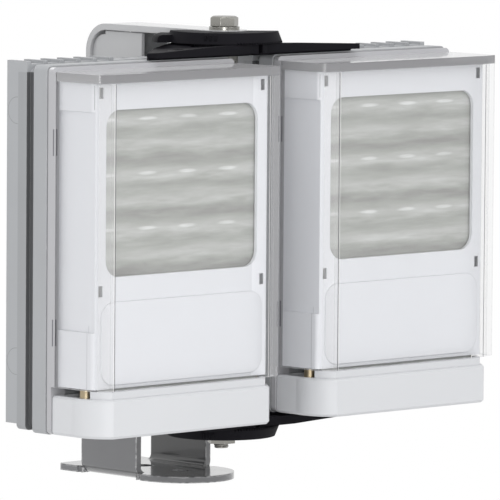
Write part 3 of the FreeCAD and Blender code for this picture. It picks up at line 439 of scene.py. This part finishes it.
def ejector_arc(y, z):
    """The faint ring that an ejector pin left on the outer face of an outer fin."""
    tree = cast.node_tree
    place = shade(tree, "ShaderNodeTexCoord")
    flat = shade(tree, "ShaderNodeVectorMath", {0: place.outputs["Object"], 1: (0.0, 1.0, 1.0)},
                 operation="MULTIPLY")
    away = shade(tree, "ShaderNodeVectorMath", {0: flat.outputs[0], 1: (0.0, y, z)},
                 operation="DISTANCE")
    ring = shade(tree, "ShaderNodeMath", {0: away.outputs["Value"], 1: pin_radius, 2: 0.00016},
                 operation="COMPARE")
    outer = inside_mask(tree, (cast_high.x - 0.0005, cast_high.y - fin_depth, 0.0),
                        (0.2, 0.1, 0.3))
    return shade(tree, "ShaderNodeMath", {0: ring.outputs[0], 1: outer},
                 operation="MULTIPLY").outputs[0]


pin_radius = 0.0068
for height in (0.0734, 0.2017):
    toned(cast, ejector_arc(-0.0579, height), 0.66)
dress(["left_heatsink", "right_heatsink"], cast)
dress(["left_cover_screws", "right_cover_screws"], stainless)
rubber = coated("gasket_rubber", (0.26, 0.26, 0.27), (0.30, 0.30, 0.30), 0.7)
dress(["left_cover_gasket", "right_cover_gasket"], rubber)

# Cable glands
# One empty cable entry behind each lamp: a hexagon, and a fluted dome nut round the open bore.

gland_bore = 0.0035
gland_hexagon = 0.020
gland_nut = 0.0085
flute_count = 18
flute_depth = 0.0005
gland_black = coated("gland_nylon", (0.011, 0.011, 0.013), (0.04, 0.04, 0.044), 0.38,
                     grain=3000.0, bump=0.00001, edge=0.0004, pale_edge_amount=0.4, cloud=0.15,
                     **{"Specular IOR Level": 0.35})


def fluted_gland(side):
    """A gland about its own axis, which runs along Y, as rings from its neck to its mouth.

    Nut: r(a) = R - d (1 - cos(n a)) / 2, with n flutes of depth d; dome: a quarter of an ellipse.
    The last rings run back down the bore, so that the entry is open.
    """
    node = side + "_cable_gland"
    low, high = (np.array(corner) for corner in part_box(node))
    middle = (low + high) / 2
    base = high[1] - 0.013
    angle = np.linspace(0.0, 2 * math.pi, 144, endpoint=False)
    sixth = math.pi / 3
    flat = gland_hexagon / 2 / np.cos((angle + sixth / 2) % sixth - sixth / 2)
    flutes = gland_nut - flute_depth * (1 - np.cos(flute_count * angle)) / 2
    plain = np.ones(144)
    rings = [(low[1], plain * gland_bore), (low[1], plain * 0.0059), (base, plain * 0.0059),
             (base, np.minimum(flat, 0.0105)), (base + 0.0004, np.minimum(flat, 0.0112)),
             (base + 0.0046, np.minimum(flat, 0.0112)), (base + 0.0050, np.minimum(flat, 0.0105)),
             (base + 0.0050, plain * 0.0078), (base + 0.0056, plain * 0.0078),
             (base + 0.0058, flutes), (base + 0.0090, flutes)]
    for share in np.linspace(0.1, 1.0, 8):
        narrow = 1.0 - 0.30 * (1.0 - math.sqrt(1.0 - share * share))
        rings.append((base + 0.0090 + 0.0040 * share, np.minimum(flutes, gland_nut * narrow)))
    rings += [(high[1], plain * 0.0048), (high[1] - 0.0012, plain * gland_bore),
              (low[1], plain * gland_bore)]
    along = np.array([ring[0] for ring in rings])
    radii = np.array([ring[1] for ring in rings])
    places = np.zeros((len(rings), 144, 3))
    places[:, :, 0] = middle[0] + radii * np.cos(angle)
    places[:, :, 1] = along[:, None]
    places[:, :, 2] = middle[2] - radii * np.sin(angle)
    count = len(rings)
    index = np.arange((count - 1) * 144).reshape(count - 1, 144)
    after = np.roll(index, -1, axis=1)
    up, up_after = np.roll(index, -1, axis=0), np.roll(after, -1, axis=0)
    quads = np.stack([index, after, up_after, up], axis=-1).reshape(-1, 4)
    mesh = bpy.data.meshes.new(node + "_fluted")
    mesh.from_pydata(places[:-1].reshape(-1, 3).tolist(), [], quads.tolist())
    mesh.shade_smooth()
    mesh.set_sharp_from_angle(angle=math.radians(30))
    mesh.materials.append(gland_black)
    piece = bpy.data.objects.new(node + "_fluted", mesh)
    bpy.context.scene.collection.objects.link(piece)
    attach(piece, side + "_lamp")
    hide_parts(node)


fluted_gland("left")
fluted_gland("right")

# Light engine
# Boards, reflectors and driver, sealed behind the diffuser.

board = coated("board_mask", (0.72, 0.74, 0.72), (0.8, 0.8, 0.8), 0.35)
metallised = coated("metallised", (0.80, 0.80, 0.79), (0.9, 0.9, 0.9), 0.12, Metallic=1.0)
emitter = coated("emitter", (0.80, 0.78, 0.50), (0.9, 0.9, 0.7), 0.2)
pad = coated("thermal_pad", (0.35, 0.37, 0.40), (0.4, 0.4, 0.4), 0.8)
driver = coated("driver_case", (0.06, 0.06, 0.065), (0.2, 0.2, 0.2), 0.4)
for side in ("left", "right"):
    dress([side + "_led_board", side + "_driver_board"], board)
    dress([side + "_reflector"], metallised)
    dress([side + "_leds"], emitter)
    dress([side + "_thermal_pad"], pad)
    dress([side + "_driver_parts"], driver)

# Bezel and end cap
# White mouldings behind the clear cover, and the end cap's brass screws.

white = coated("white_moulding", (0.79, 0.80, 0.83), (0.85, 0.85, 0.87), 0.35, grain=1800.0,
               bump=0.000008, edge=0.0006, pale_edge_amount=0.0, cloud=0.015)
cap_white = coated("cap_moulding", (0.645, 0.655, 0.675), (0.72, 0.72, 0.74), 0.35, grain=1800.0,
                   bump=0.000008, edge=0.0006, pale_edge_amount=0.0, cloud=0.015)
brass = coated("turned_brass", (0.40, 0.33, 0.22), (0.6, 0.5, 0.35), 0.3, Metallic=1.0)
shell_low, shell_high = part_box("right_white_bezel")
tab_line = 0.0008
tab_height = 0.0135
foot_line = -0.1084
foot_line_height = 0.0325
# Painted shade: a thin dark line near each side of the front, over the top 13.5 mm, for the slit
# there.
for edge in (shell_low.x + tab_line, shell_high.x - tab_line):
    toned_within(white, (edge - 0.0002, -0.2, shell_high.z - tab_height),
                 (edge + 0.0002, shell_low.y + 0.002, shell_high.z - 0.001), 0.45, 0.00012)
clip_inset = 0.0049
clip_half = (0.0016, 0.0030)
clip_heights = (shell_high.z - 0.0049, shell_high.z - 0.1054)
# Painted shade: the clip slots near both sides, at the top and lower down, are darkened.
for clip in (shell_low.x + clip_inset, shell_high.x - clip_inset):
    for height in clip_heights:
        toned_within(white, (clip - clip_half[0], shell_low.y + 0.0010, height - clip_half[1]),
                     (clip + clip_half[0], shell_low.y + 0.0040, height + clip_half[1]), 0.22)
# Painted light: the bezels' sides that face each other across the gap between the lamps are
# lightened by a factor of 1.12.
toned_within(white, (0.0, shell_low.y + 0.0005, 0.0), (0.030, 0.0, 0.3), 1.12)
toned_within(white, (0.0, foot_line - 0.0003, shell_low.z),
             (0.2, foot_line + 0.0003, shell_low.z + foot_line_height), 0.72, 0.00015)
for side in ("left", "right"):
    dress([side + "_white_bezel"], white)
    dress([side + "_end_cap"], cap_white)
    dress([side + "_cap_screws"], brass)

# Diffusers
# A frosted sheet, ribbed upright, with the twelve light cells behind it painted into its colour
# and
# smeared sideways: in each cell a painted highlight towards the light and painted shade below.

cell_pitch = 0.02797
glint_across = 0.0070
glint_tall = 0.0011
glint_shift = (-0.0080, 0.0092)


def waved(tree, value, waves, shift, low, high):
    """Low to high and back as a value grows: the middle plus half the span of a cosine."""
    turned_to = shade(tree, "ShaderNodeMath", {0: value, 1: 2 * math.pi * waves},
                      operation="MULTIPLY")
    turned_to = shade(tree, "ShaderNodeMath", {0: turned_to.outputs[0], 1: shift},
                      operation="ADD")
    cosine = shade(tree, "ShaderNodeMath", {0: turned_to.outputs[0]}, operation="COSINE")
    return shade(tree, "ShaderNodeMapRange", {"Value": cosine.outputs[0], "From Min": -1.0,
                                              "From Max": 1.0, "To Min": low, "To Max": high})


def cell_sheet(side):
    """The frosted sheet's finish for one lamp: the cells' painted light and shade, placed from its
    own middle.

    Rows: 0.5 cos(4 pi w - 0.6) - 0.22 sin(2 pi w - 0.3), where w counts cells up from a row of
    glints.
    Glints: a painted highlight, an ellipse in each cell, soft at its edge, moved towards the
    light.
    """
    low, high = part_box(side + "_reflector")
    middle = (low + high) / 2
    material = bpy.data.materials.new(side + "_frosted_sheet_with_painted_cells")
    material.use_nodes = True
    tree = material.node_tree
    tree.nodes.clear()
    place = shade(tree, "ShaderNodeTexCoord")
    moved = shade(tree, "ShaderNodeVectorMath",
                  {0: place.outputs["Object"],
                   1: (middle.x + glint_shift[0], 0.0, middle.z + glint_shift[1])},
                  operation="SUBTRACT")
    counted = shade(tree, "ShaderNodeVectorMath", {0: moved.outputs[0], "Scale": 1 / cell_pitch},
                    operation="SCALE")
    axes = shade(tree, "ShaderNodeSeparateXYZ", {0: counted.outputs[0]})
    smear = shade(tree, "ShaderNodeMapping", {"Vector": place.outputs["Object"],
                                              "Scale": (38.0, 38.0, 300.0)})
    streaks = shade(tree, "ShaderNodeTexNoise", {"Vector": smear.outputs[0], "Scale": 1.0,
                                                 "Detail": 4.0, "Roughness": 0.6})
    sway = shade(tree, "ShaderNodeMath", {0: streaks.outputs["Fac"], 1: 0.10},
                 operation="MULTIPLY")
    height = shade(tree, "ShaderNodeMath", {0: axes.outputs["Z"], 1: sway.outputs[0]},
                   operation="ADD")
    rows = waved(tree, height.outputs[0], 2.0, -0.6, -0.5, 0.5)
    slope = waved(tree, height.outputs[0], 1.0, math.pi / 2 - 0.3, -0.22, 0.22)
    tone = shade(tree, "ShaderNodeMath", {0: rows.outputs[0], 1: slope.outputs[0]},
                 operation="ADD")
    uneven = shade(tree, "ShaderNodeMapRange", {"Value": streaks.outputs["Fac"],
                                                "From Min": 0.3, "From Max": 0.7,
                                                "To Min": -0.45, "To Max": 0.45})
    tone = shade(tree, "ShaderNodeMath", {0: tone.outputs[0], 1: uneven.outputs[0]},
                 operation="ADD")
    parts = []
    for axis, offset, size in (("X", 0.0, glint_across), ("Z", 0.5, glint_tall)):
        cell = shade(tree, "ShaderNodeMath", {0: axes.outputs[axis], 1: offset}, operation="ADD")
        cell = shade(tree, "ShaderNodeMath", {0: cell.outputs[0]}, operation="FRACT")
        away = shade(tree, "ShaderNodeMath", {0: cell.outputs[0], 1: 0.5}, operation="SUBTRACT")
        away = shade(tree, "ShaderNodeMath", {0: away.outputs[0], 1: cell_pitch / size},
                     operation="MULTIPLY")
        parts.append(shade(tree, "ShaderNodeMath", {0: away.outputs[0], 1: 2.0},
                           operation="POWER"))
    distance = shade(tree, "ShaderNodeMath", {0: parts[0].outputs[0], 1: parts[1].outputs[0]},
                     operation="ADD")
    painted_glints = shade(tree, "ShaderNodeMapRange", {"Value": distance.outputs[0], "From Min": 0.1,
                                               "From Max": 1.3, "To Min": 0.8, "To Max": 0.0},
                  interpolation_type="SMOOTHSTEP")
    tone = shade(tree, "ShaderNodeMath", {0: tone.outputs[0], 1: painted_glints.outputs[0]},
                 operation="ADD")
    tone = shade(tree, "ShaderNodeMapRange", {"Value": tone.outputs[0], "From Min": -1.0,
                                              "From Max": 1.6})
    colour = shade(tree, "ShaderNodeValToRGB", {0: tone.outputs[0]})
    ramp = colour.color_ramp
    ramp.elements[0].color = (0.31, 0.31, 0.295, 1)
    ramp.elements[1].color = (0.78, 0.79, 0.78, 1)
    ramp.elements.new(0.35).color = (0.42, 0.43, 0.405, 1)
    ramp.elements.new(0.62).color = (0.54, 0.55, 0.53, 1)
    ribs = shade(tree, "ShaderNodeTexNoise", {"Vector": place.outputs["Object"],
                                              "Scale": 900.0, "Detail": 2.0})
    relief = shade(tree, "ShaderNodeBump", {"Height": ribs.outputs["Fac"], "Strength": 0.5,
                                            "Distance": 0.00001})
    rough = shade(tree, "ShaderNodeMapRange", {"Value": streaks.outputs["Fac"],
                                               "To Min": 0.35, "To Max": 0.55})
    surface = shade(tree, "ShaderNodeBsdfPrincipled",
                    {"Base Color": colour.outputs[0], "Roughness": rough.outputs[0],
                     "Normal": relief.outputs[0]})
    shade(tree, "ShaderNodeOutputMaterial", {"Surface": surface.outputs[0]})
    return material


dress(["left_diffuser"], cell_sheet("left"))
dress(["right_diffuser"], cell_sheet("right"))

# Clear covers
# One clear moulding each: nearly nothing to see face on, and paler over the angled facets as a
# painted reflection. A painted shade line and a painted highlight line run where a facet meets the
# flat front; the room above the bezel is painted as a grey band of shade, darker on the front
# face;
# the top faces are painted paler as a reflection; the rim is nearly opaque grey.

facet_line = 0.0544
line_width = 0.0006
rim_depth = 0.0062
latch_depth = (0.0037, 0.0048)
latch_heights = ((0.0205, 0.0342), (0.1174, 0.1310))
cover_low, cover_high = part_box("right_clear_cover")
shell_bottom = shell_low.z
bezel_top = shell_high.z
lamp_middle = (cover_low.x + cover_high.x) / 2


def stronger(tree, first, second, strength):
    """The larger of a value and a mask times its strength."""
    share = shade(tree, "ShaderNodeMath", {0: second, 1: strength}, operation="MULTIPLY")
    return shade(tree, "ShaderNodeMath", {0: first, 1: share.outputs[0]},
                 operation="MAXIMUM").outputs[0]


def either(tree, masks):
    """The largest of several masks."""
    joined = masks[0]
    for mask in masks[1:]:
        joined = stronger(tree, joined, mask, 1.0)
    return joined


def clear_moulding():
    """Clear plastic: each mask raises how much shows, and gives its own tint, mostly painted light
    and shade.
    """
    material = bpy.data.materials.new("clear_moulding")
    material.use_nodes = True
    tree = material.node_tree
    tree.nodes.clear()
    front = cover_low.y + 0.0016
    facet_painted_sheen, crease_painted_shade, crease_painted_highlight, latches = [], [], [], []
    for way in (-1, 1):
        crease = lamp_middle + way * facet_line
        outer = lamp_middle + way * 0.070
        facet_painted_sheen.append(inside_mask(tree, (min(crease, outer), -0.2, 0.0),
                                  (max(crease, outer), front + 0.0012, bezel_top), 0.0002))
        for lines, shift in ((crease_painted_shade, -line_width / 2), (crease_painted_highlight, line_width / 2)):
            place = crease + shift
            lines.append(inside_mask(tree, (place - line_width / 2, -0.2, shell_bottom - 0.002),
                                     (place + line_width / 2, front, bezel_top), 0.00008))
        side = cover_high.x if way > 0 else cover_low.x
        for low, high in latch_heights:
            latches.append(inside_mask(
                tree, (side - 0.003, cover_high.y - latch_depth[1], shell_bottom + low),
                (side + 0.003, cover_high.y - latch_depth[0], shell_bottom + high),
                0.0001))
    facet_painted_sheen = either(tree, facet_painted_sheen)
    crease_painted_shade = either(tree, crease_painted_shade)
    crease_painted_highlight = either(tree, crease_painted_highlight)
    latches = either(tree, latches)
    painted_shade_band = inside_mask(tree, (0.0, -0.2, bezel_top), (0.2, cover_high.y - rim_depth, 1.0), 0.0003)
    rim = inside_mask(tree, (0.0, cover_high.y - rim_depth, 0.0), (0.2, 1.0, 1.0), 0.0005)
    facing = shade(tree, "ShaderNodeNewGeometry")
    ways = shade(tree, "ShaderNodeSeparateXYZ", {0: facing.outputs["True Normal"]})
    upward = shade(tree, "ShaderNodeMapRange", {"Value": ways.outputs["Z"], "From Min": 0.5,
                                                "From Max": 0.9})
    forward = shade(tree, "ShaderNodeMapRange", {"Value": ways.outputs["Y"], "From Min": -0.5,
                                                 "From Max": -0.95})
    slant = shade(tree, "ShaderNodeLayerWeight", {"Blend": 0.35})
    veil = shade(tree, "ShaderNodeMapRange", {"Value": slant.outputs["Facing"],
                                              "From Min": 0.25, "From Max": 1.0,
                                              "To Min": 0.05, "To Max": 0.55}).outputs[0]
    pale_edge_node = shade(tree, "ShaderNodeGroup", node_tree=pale_edge_tree)
    pale_edge_node.inputs["Width"].default_value = 0.0010
    grain_node = shade(tree, "ShaderNodeGroup", node_tree=grain_tree)
    # Painted sheen: the cover's edges show more.
    veil = stronger(tree, veil, pale_edge_node.outputs["Mask"], 0.8)
    tint = (0.62, 0.63, 0.65, 1)
    # Tints: painted reflection on the facets, painted shade and painted highlight at the crease,
    # painted shade in the band, then the grey rim and the dark latch marks.
    for mask, strength, colour in (
            (facet_painted_sheen, 0.26, (0.70, 0.70, 0.71, 1)), (crease_painted_shade, 0.85, (0.09, 0.09, 0.10, 1)),
            (crease_painted_highlight, 0.45, (0.93, 0.93, 0.92, 1)), (painted_shade_band, 0.80, (0.40, 0.40, 0.41, 1)),
            (rim, 0.92, (0.50, 0.50, 0.52, 1)), (latches, 0.9, (0.20, 0.20, 0.22, 1))):
        veil = stronger(tree, veil, mask, strength)
        tint = shade(tree, "ShaderNodeMix", {0: mask, 6: tint, 7: colour},
                     data_type="RGBA").outputs[2]
    # Painted shade: the band is darker still on the front face.
    painted_front_shade = shade(tree, "ShaderNodeMath", {0: painted_shade_band, 1: forward.outputs[0]},
                       operation="MULTIPLY")
    tint = shade(tree, "ShaderNodeMix", {0: painted_front_shade.outputs[0], 6: tint,
                                         7: (0.27, 0.27, 0.28, 1)}, data_type="RGBA")
    # Painted reflection: the top faces are paler.
    tint = shade(tree, "ShaderNodeMix", {0: upward.outputs[0], 6: tint.outputs[2],
                                         7: (0.92, 0.92, 0.94, 1)}, data_type="RGBA")
    rough = shade(tree, "ShaderNodeMapRange", {"Value": grain_node.outputs["Tone"],
                                               "To Min": 0.03, "To Max": 0.10})
    surface = shade(tree, "ShaderNodeBsdfPrincipled",
                    {"Base Color": tint.outputs[2], "Roughness": rough.outputs[0],
                     "Alpha": veil, "IOR": 1.58})
    shade(tree, "ShaderNodeOutputMaterial", {"Surface": surface.outputs[0]})
    return material


dress(["left_clear_cover", "right_clear_cover"], clear_moulding())
